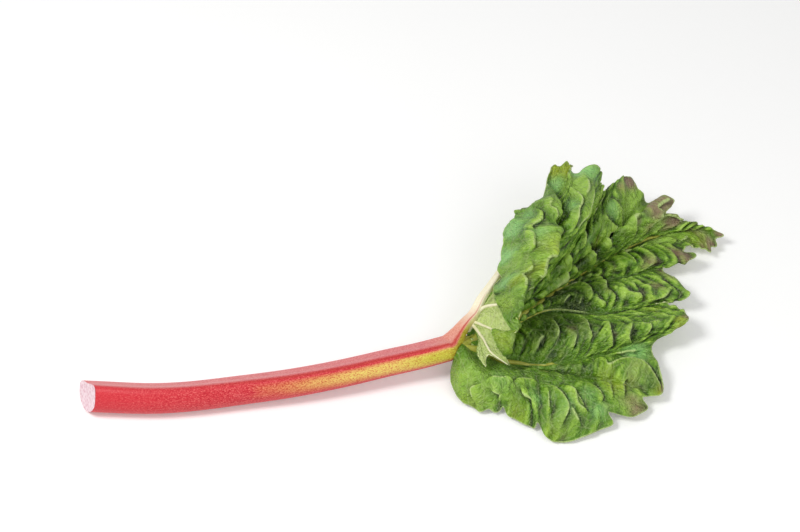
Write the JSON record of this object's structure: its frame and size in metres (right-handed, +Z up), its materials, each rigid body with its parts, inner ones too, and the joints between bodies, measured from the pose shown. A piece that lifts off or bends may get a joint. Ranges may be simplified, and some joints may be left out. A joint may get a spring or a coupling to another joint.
{
  "type": "rhubarb stalk with leaf",
  "caption": "Picked rhubarb stalk with its crumpled, folded leaf, lying on a flat surface.",
  "frame": {"origin": "bottom centre of the object's box, on the surface that it lies on", "axes": "+X from the cut end towards the leaf tip, +Y away from the front, +Z up"},
  "size_m": [0.5298, 0.2705, 0.0775],
  "materials": {
    "stalk_skin": "satin",
    "leaf": "satin"
  },
  "bodies": {
    "root": {"petiole": "stalk_skin", "leaf_blade": "leaf"}
  },
  "joints": []
}
